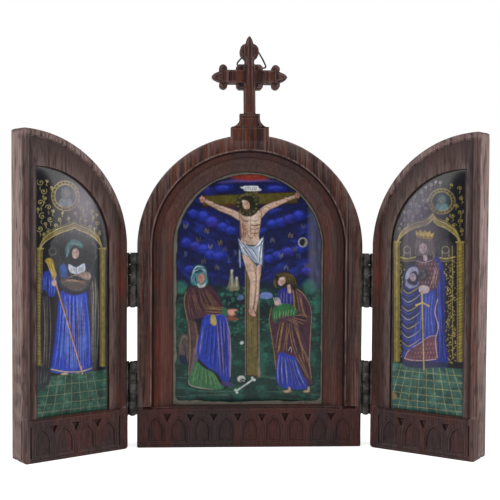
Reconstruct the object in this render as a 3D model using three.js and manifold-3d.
// Small standing triptych altarpiece: an arch-topped oak centre panel carrying a carved
// cross, two hinged wings that close over it, and a domed enamel picture in each leaf.
// Millimetres, +Z up. The origin is the middle of the centre panel's underside, +X is to
// the viewer's right and the front faces -Y.

import * as THREE from "three";
import { mergeVertices } from "three/addons/utils/BufferGeometryUtils.js";
import Module from "manifold-3d";

const wasm = await Module();
wasm.setup();

// ---- Driving dimensions ----
const boardThickness = 20.6;
const frontY = -boardThickness / 2;
const fitGap = 0.3;

const centreHalfWidth = 75;
const springZ = 133.3;
const archSteps = 34;

const wingWidth = 74.6;
const wingArchRadius = 75;
const wingArchSteps = 18;
const wingBackRound = 4.8;
const wingOpenFromFlat = { left: 34.6, right: 36.4 };

const ledgeZ = 27.4;
const ledgeChamfer = 1.7;
const plaqueThickness = 1.5;
const plaqueCrown = 1.5;
const frameShiftX = -0.9;
const centreRimY = frontY + 8.6;
const centreFloorY = centreRimY + plaqueThickness + fitGap;
const wingRimY = frontY + 2.9;
const wingFloorY = wingRimY + plaqueThickness + fitGap;

// Arcade of blind pointed arches along the foot of every board.
const archPitch = 15.75;
const archHalfWidth = 5.4;
const archSillZ = 3.8;
const archSpringZ = 11.2;
const archApexZ = 20.3;
const archDepth = 1.7;
const spandrelTopZ = 22.4;
const spandrelTipZ = 15.8;
const spandrelHalfWidth = 3.1;
const spandrelDepth = 2.2;

// Pedestal and cross, cut from the same board as the centre panel.
const crossBackY = frontY + 11.5;
const crossBevel = 0.9;
const crossX = -1;
const crossZ = 246.6;
const crossTopZ = 273.2;
const pedestal = { rootZ: 200, halfWidth: 12.6, shoulderZ: 213.3 };
const neck = { halfWidth: 6.6, bottomZ: 219.8, topZ: 222.2 };
const stem = { halfWidth: 3.7, topZ: 262 };
const sideArm = { halfHeight: 4.6, squareReach: 18, reach: 25.2 };
const sideLobe = { x: 17.3, offset: 5.1, radius: 2.9 };
const topArm = { halfWidth: 2.8, bottomZ: 256, shoulderZ: 268.4 };
const topLobe = { x: 3.5, z: 263.4, radius: 3.3 };
const cornerBlock = { from: 3, toX: 8.8, toZ: 8.2 };

// Butt hinges, two to a wing; the barrel stands in the gap at the front.
const hingeGapHalf = 2.9;
const hingeAxisX = centreHalfWidth + hingeGapHalf;
const hingeAxisY = frontY - 0.5;
const hingeLength = 36;
const hingeBottoms = [21.9, 93.9];
const knuckleCount = 5;
const barrelRadius = 2.5;
const barrelSides = 12;
const roundSides = 8;
const barrelBore = 1.3;
const hingePinRadius = 1;
const pinButtonRadius = 1.9;
const pinButtonThickness = 0.4;
const barrelInset = 0.6;
const leafThickness = 1;
const leafDepth = 11.6;
const leafSetIn = 0.1;
const leafFrontY = 0.65;
const leafLip = { nearX: 0.8, frontY: barrelRadius + 0.4, thickness: 1 };
const screwSpacing = 12;
const screwFromAxis = 7.4;
const screwHeadRadius = 1.7;
const screwShankRadius = 0.8;
const screwLength = 7;
const screwSlot = { depth: 0.4, halfLength: 2, halfWidth: 0.2 };

// Wire hanging ring on the back of the cross.
const ringWireRadius = 0.55;
const ringAxisX = 0.45;
const ringAxisY = crossBackY + 1.5;
const ringAxisZ = 254.6;
const ringHeight = 15.8;
const ringHalfWidth = 10.9;
const ringCornerRadius = 2.3;
const ringBendSteps = 6;
const ringSkew = 4.7;
const ringLean = 2.3;
const eyePlate = { halfWidth: 4, bottomZ: 244.7, nearY: crossBackY + 0.05, backY: crossBackY + 0.85 };
const eye = { radius: 1.35, halfLength: 2.4 };
const plateNail = { radius: 0.35, headRadius: 0.9, length: 5, x: 2.3, z: 247.1 };

const oak = { color: 0x4b322d, roughness: 0.55, metalness: 0 };
const enamel = { color: 0x1e2878, roughness: 0.12, metalness: 0 };
const agedBrass = { color: 0x3a332c, roughness: 0.5, metalness: 0.9 };
const darkWire = { color: 0x2c2a2c, roughness: 0.45, metalness: 0.9 };

// ---- Working with solids ----
const weldTolerance = 1e-4;
const outlineSteps = 5;
const radians = THREE.MathUtils.degToRad;

// A closed three.js geometry as a solid that can be joined and cut.
function solid(geometry) {
  const bare = geometry.index ? geometry.toNonIndexed() : geometry.clone();
  bare.deleteAttribute("normal");
  bare.deleteAttribute("uv");
  const welded = mergeVertices(bare, weldTolerance);
  return new wasm.Manifold(new wasm.Mesh({
    numProp: 3,
    vertProperties: Float32Array.from(welded.attributes.position.array),
    triVerts: Uint32Array.from(welded.index.array),
  }));
}

function geometryOf(body) {
  const mesh = body.getMesh();
  const geometry = new THREE.BufferGeometry();
  geometry.setAttribute("position", new THREE.BufferAttribute(mesh.vertProperties, 3));
  geometry.setIndex(new THREE.BufferAttribute(mesh.triVerts, 1));
  geometry.computeVertexNormals();
  return geometry;
}

function cutAll(body, cutters) {
  return cutters.reduce((left, cutter) => left.subtract(cutter), body);
}

function joinAll(bodies) {
  return bodies.reduce((joined, body) => joined.add(body));
}

// Turns a closed triangle list the right way out.
function facingOut(positions, faces) {
  const corner = (i) => new THREE.Vector3().fromArray(positions, i * 3);
  const volume = faces.reduce((sum, [a, b, c]) => sum + corner(a).dot(corner(b).cross(corner(c))), 0);
  const geometry = new THREE.BufferGeometry();
  geometry.setAttribute("position", new THREE.Float32BufferAttribute(positions, 3));
  geometry.setIndex((volume < 0 ? faces.map(([a, b, c]) => [a, c, b]) : faces).flat());
  return geometry;
}

// Skins a stack of rings, each in a plane of constant y, and closes it with two flat caps.
function loft(rings) {
  const count = rings[0].length;
  const positions = rings.flat().flatMap((point) => point.toArray());
  const faces = [];
  for (let level = 0; level + 1 < rings.length; level += 1) {
    for (let i = 0; i < count; i += 1) {
      const a = level * count + i;
      const b = level * count + ((i + 1) % count);
      faces.push([a, a + count, b], [b, a + count, b + count]);
    }
  }
  const cap = (ring) => THREE.ShapeUtils.triangulateShape(ring.map((p) => new THREE.Vector2(p.x, p.z)), []);
  const last = (rings.length - 1) * count;
  cap(rings[0]).forEach(([a, b, c]) => faces.push([a, b, c]));
  cap(rings.at(-1)).forEach(([a, b, c]) => faces.push([last + a, last + c, last + b]));
  return facingOut(positions, faces);
}

// A flat outline in X and Z pushed back along +Y, with an optional bevel on its edges.
function plate(shape, fromY, toY, bevel = 0) {
  const geometry = new THREE.ExtrudeGeometry(shape, {
    depth: toY - fromY - 2 * bevel,
    bevelEnabled: bevel > 0,
    bevelThickness: bevel,
    bevelSize: bevel,
    bevelOffset: -bevel,
    bevelSegments: 1,
    curveSegments: outlineSteps,
  });
  geometry.rotateX(Math.PI / 2);
  geometry.translate(0, toY - bevel, 0);
  return geometry;
}

function box(x0, x1, y0, y1, z0, z1) {
  const geometry = new THREE.BoxGeometry(Math.abs(x1 - x0), y1 - y0, z1 - z0);
  geometry.translate((x0 + x1) / 2, (y0 + y1) / 2, (z0 + z1) / 2);
  return geometry;
}

function polygon(points) {
  return new THREE.Shape(points.map(([x, z]) => new THREE.Vector2(x, z)));
}

function rectangle(x0, x1, z0, z1) {
  return polygon([[x0, z0], [x1, z0], [x1, z1], [x0, z1]]);
}

// ---- Outlines of the boards ----

// Arch-topped ring: upright sides, and a half circle about the springing line.
function archRing(halfWidth, bottomZ, y) {
  const ring = [new THREE.Vector3(-halfWidth, y, bottomZ), new THREE.Vector3(halfWidth, y, bottomZ)];
  for (let i = 0; i <= archSteps; i += 1) {
    const angle = (Math.PI * i) / archSteps;
    ring.push(new THREE.Vector3(halfWidth * Math.cos(angle), y, springZ + halfWidth * Math.sin(angle)));
  }
  return ring;
}

// Half-arch ring of a wing: x runs from the hinge edge outwards, and the quarter arch
// rises to the free edge about a centre at axisX.
function wingRing({ innerX, outerX, radius, centreZ, bottomZ, y, axisX = wingArchRadius }) {
  const from = Math.acos((outerX - axisX) / radius);
  const to = Math.acos(Math.max(-1, (innerX - axisX) / radius));
  const ring = [new THREE.Vector3(innerX, y, bottomZ), new THREE.Vector3(outerX, y, bottomZ)];
  for (let i = 0; i <= wingArchSteps; i += 1) {
    const angle = THREE.MathUtils.lerp(from, to, i / wingArchSteps);
    const x = axisX + radius * Math.cos(angle);
    ring.push(new THREE.Vector3(x, y, centreZ + radius * Math.sin(angle)));
  }
  return ring;
}

// ---- Carving at the foot of the boards ----
function pointedArch() {
  const rise = archApexZ - archSpringZ;
  const shape = new THREE.Shape();
  shape.moveTo(-archHalfWidth, archSillZ);
  shape.lineTo(archHalfWidth, archSillZ);
  shape.lineTo(archHalfWidth, archSpringZ);
  shape.quadraticCurveTo(archHalfWidth, archSpringZ + rise * 0.6, 0, archApexZ);
  shape.quadraticCurveTo(-archHalfWidth, archSpringZ + rise * 0.6, -archHalfWidth, archSpringZ);
  return shape;
}

// Cutters for a row of blind arches centred on middleX, with the small inverted
// triangles between their heads.
function arcadeCutters(count, middleX) {
  const arch = plate(pointedArch(), frontY - 1, frontY + archDepth);
  const triangle = polygon([
    [0, spandrelTipZ], [spandrelHalfWidth, spandrelTopZ], [-spandrelHalfWidth, spandrelTopZ],
  ]);
  const spandrel = plate(triangle, frontY - 1, frontY + spandrelDepth);
  const first = middleX - ((count - 1) / 2) * archPitch;
  const cutters = [];
  for (let i = 0; i < count; i += 1) {
    cutters.push(solid(arch.clone().translate(first + i * archPitch, 0, 0)));
    if (i + 1 < count) {
      cutters.push(solid(spandrel.clone().translate(first + (i + 0.5) * archPitch, 0, 0)));
    }
  }
  return cutters;
}

// ---- Centre panel ----

// The moulded frame, from the outer edge inwards as [distance in, depth behind the front]:
// a groove, a round bead, a second groove, a cove down to the sight edge, then the pocket.
const frameProfile = [
  [10.4, -1], [10.4, 0.9], [10.8, 1.2], [11.5, 0.4], [12.4, 0.1], [13.7, 0.15], [14.8, 0.7],
  [15.6, 1.9], [16.4, 1.7], [17.6, 2.1], [19.2, 3.3], [21, 4.3], [22.6, 4.7], [24.1, 4.9],
  [24.5, 5.4], [24.5, centreFloorY - frontY],
];

// The board's rounded edge, from front to back, in the same terms.
const edgeProfile = [
  [2, 0], [0.6, 0.6], [0, 2],
  [0, boardThickness - 2.4], [0.7, boardThickness - 0.7], [2.4, boardThickness],
];
const footRound = 0.8;

function centreBoard() {
  return loft(edgeProfile.map(([inset, depth]) => (
    archRing(centreHalfWidth - inset, Math.min(inset, footRound), frontY + depth)
  )));
}

function frameCutter() {
  return loft(frameProfile.map(([inset, depth]) => {
    const bottom = ledgeZ - ledgeChamfer * THREE.MathUtils.clamp(1 - depth / ledgeChamfer, 0, 1);
    return archRing(centreHalfWidth - inset, bottom, frontY + depth);
  })).translate(frameShiftX, 0, 0);
}

// Upright foot of the cross, drawn in by a hollow curve on each side to a narrow neck.
function pedestalPart() {
  const { rootZ, halfWidth, shoulderZ } = pedestal;
  const shape = polygon([[-halfWidth, rootZ], [halfWidth, rootZ], [halfWidth, shoulderZ]]);
  shape.quadraticCurveTo(neck.halfWidth, shoulderZ + 1, neck.halfWidth, neck.bottomZ);
  shape.lineTo(neck.halfWidth, neck.topZ);
  shape.lineTo(-neck.halfWidth, neck.topZ);
  shape.lineTo(-neck.halfWidth, neck.bottomZ);
  shape.quadraticCurveTo(-neck.halfWidth, shoulderZ + 1, -halfWidth, shoulderZ);
  return plate(shape, frontY, crossBackY, crossBevel);
}

function lobe(x, z, radius) {
  const shape = new THREE.Shape();
  shape.absarc(x, z, radius, 0, 2 * Math.PI, false);
  return plate(shape, frontY, crossBackY, crossBevel);
}

// Pointed end of a side arm; side is -1 on the left and 1 on the right.
function sideArmEnd(side) {
  const { halfHeight, reach } = sideArm;
  const rootX = side * (sideLobe.x - 1);
  const bend = halfHeight * 0.7;
  const shape = new THREE.Shape();
  shape.moveTo(rootX, crossZ - halfHeight);
  shape.quadraticCurveTo(side * (reach - 1), crossZ - bend, side * reach, crossZ);
  shape.quadraticCurveTo(side * (reach - 1), crossZ + bend, rootX, crossZ + halfHeight);
  return plate(shape, frontY, crossBackY, crossBevel);
}

function topArmEnd() {
  const { halfWidth, bottomZ, shoulderZ } = topArm;
  const top = polygon([[-halfWidth, bottomZ], [halfWidth, bottomZ], [halfWidth, shoulderZ]]);
  top.quadraticCurveTo(halfWidth - 1, crossTopZ - 1, 0, crossTopZ);
  top.quadraticCurveTo(1 - halfWidth, crossTopZ - 1, -halfWidth, shoulderZ);
  return plate(top, frontY, crossBackY, crossBevel * 0.5);
}

// Small square block in each of the four angles where the arms meet.
function cornerBlocks() {
  const { from, toX, toZ } = cornerBlock;
  const blocks = [];
  for (const side of [-1, 1]) {
    for (const level of [-1, 1]) {
      const block = plate(rectangle(from, toX, from, toZ), frontY, crossBackY, crossBevel);
      block.translate(side < 0 ? -from - toX : 0, 0, crossZ + (level < 0 ? -from - toZ : 0));
      blocks.push(block);
    }
  }
  return blocks;
}

function bar(halfWidth, z0, z1) {
  return plate(rectangle(-halfWidth, halfWidth, z0, z1), frontY, crossBackY, crossBevel);
}

function crossParts() {
  const parts = [
    pedestalPart(),
    bar(stem.halfWidth, neck.topZ - 3, stem.topZ),
    bar(sideArm.squareReach, crossZ - sideArm.halfHeight, crossZ + sideArm.halfHeight),
    topArmEnd(),
    ...cornerBlocks(),
  ];
  for (const side of [-1, 1]) {
    parts.push(sideArmEnd(side), lobe(side * topLobe.x, topLobe.z, topLobe.radius));
    for (const offset of [-sideLobe.offset, sideLobe.offset]) {
      parts.push(lobe(side * sideLobe.x, crossZ + offset, sideLobe.radius));
    }
  }
  return parts.map((part) => part.translate(crossX, 0, 0));
}

// ---- Wings ----
const wingField = { depth: 1.2, outer: 5, arch: 4.4, inner: 6.4 };
const wingOpening = { inner: 14, outer: 9.9, axisX: 64, radius: 50, centreZ: 134.6 };

// A wing's edge from front to back, as [distance in, depth, height of the foot]: a low
// crown on the front and a quarter round at the back.
const wingFrontEdge = [[5, 0, 0.5], [0.5, 0.5, 0.3], [0, 1.1, 0], [0, boardThickness - wingBackRound, 0]];
const wingBackAngles = [30, 60, 90];

function wingBoard() {
  const backEdge = wingBackAngles.map((angle) => {
    const inset = wingBackRound * (1 - Math.cos(radians(angle)));
    const depth = boardThickness - wingBackRound * (1 - Math.sin(radians(angle)));
    return [inset, depth, inset];
  });
  return loft([...wingFrontEdge, ...backEdge].map(([inset, depth, bottomZ]) => wingRing({
    innerX: inset,
    outerX: wingWidth - inset,
    radius: wingArchRadius - inset,
    centreZ: springZ,
    bottomZ,
    y: frontY + depth,
  })));
}

// Sinks the flat field inside the raised border, and the pocket for the picture in it.
function wingCutter() {
  const field = (grow, y, bottomZ) => wingRing({
    innerX: wingField.inner - grow,
    outerX: wingWidth - wingField.outer + grow,
    radius: wingArchRadius - wingField.arch + grow,
    centreZ: springZ,
    bottomZ,
    y,
  });
  const opening = (y) => wingRing({
    innerX: wingOpening.inner,
    outerX: wingWidth - wingOpening.outer,
    radius: wingOpening.radius,
    axisX: wingOpening.axisX,
    centreZ: wingOpening.centreZ,
    bottomZ: ledgeZ,
    y,
  });
  return loft([
    field(0.6, frontY - 1, ledgeZ - ledgeChamfer),
    field(0.6, frontY + 0.1, ledgeZ - ledgeChamfer),
    field(0, frontY + wingField.depth, ledgeZ - 0.4),
    opening(frontY + wingField.depth + 0.1),
    opening(wingFloorY),
  ]);
}

// Narrow shadow line between the border and each end of the carved arcade.
const arcadeSlot = { halfWidth: 0.45, bottomZ: 8, topZ: ledgeZ - 0.6 };

function arcadeEndCutters() {
  const { halfWidth, bottomZ, topZ } = arcadeSlot;
  const backY = frontY + wingField.depth;
  return [wingField.inner, wingWidth - wingField.outer].map((x) => (
    solid(box(x - halfWidth, x + halfWidth, frontY - 1, backY, bottomZ, topZ))
  ));
}

// ---- Domed enamel pictures ----

// A plate of even thickness whose front rises in a low dome; insets are the dome's rings.
function domed(ringAt, rimY, insets) {
  const rings = [ringAt(0, rimY + plaqueThickness), ringAt(0, rimY)];
  for (const inset of insets) {
    const rise = 1 - (1 - inset / insets.at(-1)) ** 2;
    rings.push(ringAt(inset, rimY - plaqueCrown * rise));
  }
  return loft(rings);
}

const centreDomeInsets = [6, 16, 34];
const wingDomeInsets = [4, 10, 18];

function centrePlaque() {
  const halfWidth = centreHalfWidth - frameProfile.at(-1)[0] - fitGap;
  const ringAt = (inset, y) => archRing(halfWidth - inset, ledgeZ + fitGap + inset, y);
  return domed(ringAt, centreRimY, centreDomeInsets).translate(frameShiftX, 0, 0);
}

function wingPlaque() {
  return domed((inset, y) => wingRing({
    innerX: wingOpening.inner + fitGap + inset,
    outerX: wingWidth - wingOpening.outer - fitGap - inset,
    radius: wingOpening.radius - fitGap - inset,
    axisX: wingOpening.axisX,
    centreZ: wingOpening.centreZ,
    bottomZ: ledgeZ + fitGap + inset,
    y,
  }), wingRimY, wingDomeInsets);
}

// ---- Hinges, in a frame whose Z axis is the barrel's ----
const leafNearX = hingeGapHalf + leafSetIn;
const leafFarX = leafNearX + leafThickness;

function cylinderAlongZ(radius, z0, z1, sides) {
  const geometry = new THREE.CylinderGeometry(radius, radius, z1 - z0, sides);
  geometry.rotateX(Math.PI / 2);
  geometry.translate(0, 0, (z0 + z1) / 2);
  return geometry;
}

// A cone or cylinder whose axis is X, running outwards from the barrel on one side.
function taperAlongX(side, nearX, nearRadius, farX, farRadius, y, z) {
  const geometry = new THREE.CylinderGeometry(farRadius, nearRadius, farX - nearX, roundSides);
  geometry.rotateZ(-side * Math.PI / 2);
  geometry.translate((side * (nearX + farX)) / 2, y, z);
  return geometry;
}

function screwHeights() {
  return hingeBottoms.flatMap((bottom) => {
    const middle = bottom + hingeLength / 2;
    return [middle - screwSpacing, middle + screwSpacing];
  });
}

// The plate of a leaf, let into the board's edge, and the lip it turns in behind the barrel.
function leafPlate(side, bottomZ) {
  const topZ = bottomZ + hingeLength;
  const lipBackY = leafLip.frontY + leafLip.thickness;
  return [
    box(side * leafNearX, side * leafFarX, leafFrontY, leafFrontY + leafDepth, bottomZ, topZ),
    box(side * leafLip.nearX, side * leafFarX, leafLip.frontY, lipBackY, bottomZ, topZ),
  ];
}

// One knuckle of a leaf, with the strap that joins it to the plate.
function leafKnuckle(side, low, high) {
  const strapBackY = leafFrontY + leafThickness;
  return [
    cylinderAlongZ(barrelRadius, low, high, barrelSides),
    box(side * (barrelBore + 0.1), side * leafFarX, leafFrontY, strapBackY, low, high),
  ];
}

// One leaf of a butt hinge. side is +1 for a leaf on the +X side of the barrel, and first
// is its lowest knuckle.
function hingeLeaf(side, bottomZ, first) {
  const startZ = bottomZ + barrelInset;
  const pitch = (hingeLength - 2 * barrelInset) / knuckleCount;
  const parts = leafPlate(side, bottomZ);
  for (let knuckle = first; knuckle < knuckleCount; knuckle += 2) {
    const low = startZ + knuckle * pitch + (knuckle > 0 ? fitGap / 2 : 0);
    const high = startZ + (knuckle + 1) * pitch - (knuckle + 1 < knuckleCount ? fitGap / 2 : 0);
    parts.push(...leafKnuckle(side, low, high));
  }
  const bore = cylinderAlongZ(barrelBore, bottomZ - 1, bottomZ + hingeLength + 1, roundSides);
  const headRadius = screwHeadRadius + fitGap;
  const shankRadius = screwShankRadius + fitGap;
  const sinks = screwHeights().map((z) => (
    taperAlongX(side, leafNearX - 0.01, headRadius, leafFarX + 0.01, shankRadius, screwFromAxis, z)
  ));
  return geometryOf(cutAll(joinAll(parts.map(solid)), [bore, ...sinks].map(solid)));
}

// The loose pin, with a flat turned button at each end of the barrel.
function hingePin(bottomZ) {
  const half = hingeLength / 2;
  const shoulder = half - barrelInset + fitGap;
  const end = shoulder + pinButtonThickness;
  const top = [
    [hingePinRadius, shoulder], [pinButtonRadius, shoulder], [0.8 * pinButtonRadius, end], [0, end],
  ];
  const bottom = top.map(([r, h]) => [r, -h]).reverse();
  const profile = [...bottom, ...top];
  const geometry = new THREE.LatheGeometry(profile.map(([r, h]) => new THREE.Vector2(r, h)), roundSides);
  geometry.rotateX(Math.PI / 2);
  geometry.translate(0, 0, bottomZ + half);
  return geometryOf(solid(geometry));
}

// Countersunk slotted screw, its head flush with the leaf on that side.
function leafScrew(side, z) {
  const head = taperAlongX(side, leafNearX, screwHeadRadius, leafFarX, screwShankRadius, screwFromAxis, z);
  const shank = taperAlongX(
    side, leafFarX - 0.3, screwShankRadius, leafFarX + screwLength, screwShankRadius * 0.6, screwFromAxis, z,
  );
  const { depth, halfLength, halfWidth } = screwSlot;
  const slot = box(
    side * (leafNearX - 1), side * (leafNearX + depth),
    screwFromAxis - halfLength, screwFromAxis + halfLength, z - halfWidth, z + halfWidth,
  );
  return geometryOf(solid(head).add(solid(shank)).subtract(solid(slot)));
}

// What the hinges on one side need cut out of a board: mortises and screw holes.
function hingeCutters(side) {
  const mortiseFarX = leafFarX + fitGap;
  const cutters = hingeBottoms.map((bottom) => solid(box(
    side * (hingeGapHalf - 1), side * mortiseFarX, leafFrontY - 2, leafFrontY + leafDepth + fitGap,
    bottom - fitGap, bottom + hingeLength + fitGap,
  )));
  for (const z of screwHeights()) {
    const radius = screwShankRadius + fitGap;
    cutters.push(solid(taperAlongX(
      side, mortiseFarX - 0.5, radius, leafFarX + screwLength + 1, radius, screwFromAxis, z,
    )));
  }
  return cutters;
}

// ---- Hanging ring ----

// Closed tube of round section along a flat loop in the X-Z plane.
function loopOfWire(loop, radius, sides) {
  const positions = [];
  const faces = [];
  const count = loop.length;
  loop.forEach((point, i) => {
    const along = loop[(i + 1) % count].clone().sub(loop[(i + count - 1) % count]).normalize();
    const here = i * sides;
    const next = ((i + 1) % count) * sides;
    for (let j = 0; j < sides; j += 1) {
      const angle = (2 * Math.PI * j) / sides;
      const out = radius * Math.cos(angle);
      const across = (j + 1) % sides;
      positions.push(point.x + along.y * out, radius * Math.sin(angle), point.y - along.x * out);
      faces.push([here + j, next + j, next + across], [here + j, next + across, here + across]);
    }
  });
  return facingOut(positions, faces);
}

// Centre line of the rounded triangle, with its base on the hinge axis.
function ringLoop() {
  const apex = new THREE.Vector2(0, ringHeight);
  const corners = [new THREE.Vector2(-ringHalfWidth, 0), new THREE.Vector2(ringHalfWidth, 0), apex];
  const loop = [];
  corners.forEach((corner, i) => {
    const before = corners[(i + 2) % 3].clone().sub(corner).normalize();
    const after = corners[(i + 1) % 3].clone().sub(corner).normalize();
    const half = Math.acos(before.dot(after)) / 2;
    const centre = corner.clone().add(before.clone().add(after).setLength(ringCornerRadius / Math.sin(half)));
    const start = corner.clone().addScaledVector(before, ringCornerRadius / Math.tan(half)).sub(centre);
    const sweep = Math.PI - 2 * half;
    for (let k = 0; k <= ringBendSteps; k += 1) {
      loop.push(start.clone().rotateAround(new THREE.Vector2(), (sweep * k) / ringBendSteps).add(centre));
    }
  });
  return loop;
}

function hangingRing() {
  const geometry = loopOfWire(ringLoop(), ringWireRadius, 8);
  geometry.rotateY(radians(ringSkew));
  geometry.rotateX(radians(ringLean));
  geometry.translate(ringAxisX, ringAxisY, ringAxisZ);
  return geometryOf(solid(geometry));
}

// Eye plate on the back of the cross: a flat strip rolled into an eye round the wire.
function ringPlate() {
  const { halfWidth, bottomZ, nearY, backY } = eyePlate;
  const flat = solid(box(ringAxisX - halfWidth, ringAxisX + halfWidth, nearY, backY, bottomZ, ringAxisZ));
  const alongX = (radius, halfLength) => {
    const tube = new THREE.CylinderGeometry(radius, radius, 2 * halfLength, barrelSides);
    tube.rotateZ(Math.PI / 2);
    tube.translate(ringAxisX, ringAxisY, ringAxisZ);
    return solid(tube);
  };
  const bore = alongX(ringWireRadius + 1.5 * fitGap, ringHalfWidth);
  return geometryOf(cutAll(flat.add(alongX(eye.radius, eye.halfLength)), [bore, ...nailHoles()]));
}

// Round-headed nail driven forwards through the plate, left (-1) or right (1) of its middle.
function nail(side) {
  const { radius, headRadius, length, x, z } = plateNail;
  const profile = [
    [0, -length], [radius, 0.4 - length], [radius, 0.15],
    [headRadius, 0.15], [0.7 * headRadius, 0.6], [0, 0.75],
  ];
  const geometry = new THREE.LatheGeometry(profile.map(([r, h]) => new THREE.Vector2(r, h)), roundSides);
  geometry.translate(ringAxisX + side * x, eyePlate.backY, z);
  return geometry;
}

function nailHoles() {
  const { radius, length, x, z } = plateNail;
  return [-1, 1].map((side) => {
    const hole = new THREE.CylinderGeometry(radius + fitGap, radius + fitGap, length + 2, roundSides);
    return solid(hole.translate(ringAxisX + side * x, eyePlate.backY + 1 - fitGap - length / 2, z));
  });
}

// ---- Assembly ----
const triptych = new THREE.Group();

function addPiece(parent, name, geometry, look) {
  const mesh = new THREE.Mesh(geometry, new THREE.MeshStandardMaterial(look));
  mesh.name = name;
  parent.add(mesh);
}

function addCentre() {
  const hingeSides = [-1, 1].flatMap((side) => hingeCutters(-side).map((cutter) => (
    cutter.translate([side * hingeAxisX, hingeAxisY, 0])
  )));
  const body = joinAll([solid(centreBoard()), ...crossParts().map(solid)]);
  const carved = cutAll(body, [solid(frameCutter()), ...arcadeCutters(9, 0), ...hingeSides, ...nailHoles()]);
  addPiece(triptych, "centre_panel", geometryOf(carved), oak);
  addPiece(triptych, "centre_enamel", centrePlaque(), enamel);
}

function addHangingRing() {
  addPiece(triptych, "ring_plate", ringPlate(), agedBrass);
  addPiece(triptych, "ring_plate_nail_left", geometryOf(solid(nail(-1))), agedBrass);
  addPiece(triptych, "ring_plate_nail_right", geometryOf(solid(nail(1))), agedBrass);
  addPiece(triptych, "hanging_ring", hangingRing(), darkWire);
}

// A wing is made with x running outwards from its hinge edge; the left one is mirrored.
function wingPieces() {
  const arcadeMiddle = (wingField.inner + wingWidth - wingField.outer) / 2;
  const shiftX = -hingeGapHalf;
  const hingeHoles = hingeCutters(1).map((cutter) => cutter.translate([shiftX, hingeAxisY, 0]));
  const board = cutAll(solid(wingBoard()), [
    solid(wingCutter()), ...arcadeCutters(4, arcadeMiddle), ...arcadeEndCutters(), ...hingeHoles,
  ]);
  return { board, enamelPlate: solid(wingPlaque()) };
}

function addWing(name, side) {
  const wing = new THREE.Group();
  wing.position.set(side * hingeAxisX, hingeAxisY, 0);
  wing.rotation.z = -side * radians(wingOpenFromFlat[name]);
  triptych.add(wing);
  const placed = (body) => {
    const moved = body.translate([hingeGapHalf, -hingeAxisY, 0]);
    return geometryOf(side > 0 ? moved : moved.mirror([1, 0, 0]));
  };
  const { board, enamelPlate } = wingPieces();
  addPiece(wing, `${name}_wing`, placed(board), oak);
  addPiece(wing, `${name}_enamel`, placed(enamelPlate), enamel);
  addHinges(name, side, wing);
}

function addHinges(name, side, wing) {
  const barrel = new THREE.Group();
  barrel.position.set(side * hingeAxisX, hingeAxisY, 0);
  triptych.add(barrel);
  ["lower", "upper"].forEach((place, i) => {
    const bottom = hingeBottoms[i];
    const hinge = `${name}_${place}_hinge`;
    addPiece(barrel, `${hinge}_fixed_leaf`, hingeLeaf(-side, bottom, 0), agedBrass);
    addPiece(barrel, `${hinge}_pin`, hingePin(bottom), agedBrass);
    addPiece(wing, `${hinge}_wing_leaf`, hingeLeaf(side, bottom, 1), agedBrass);
    ["bottom", "top"].forEach((level, j) => {
      const z = screwHeights()[i * 2 + j];
      addPiece(barrel, `${hinge}_fixed_screw_${level}`, leafScrew(-side, z), agedBrass);
      addPiece(wing, `${hinge}_wing_screw_${level}`, leafScrew(side, z), agedBrass);
    });
  });
}

addCentre();
addHangingRing();
addWing("left", -1);
addWing("right", 1);

export default triptych;
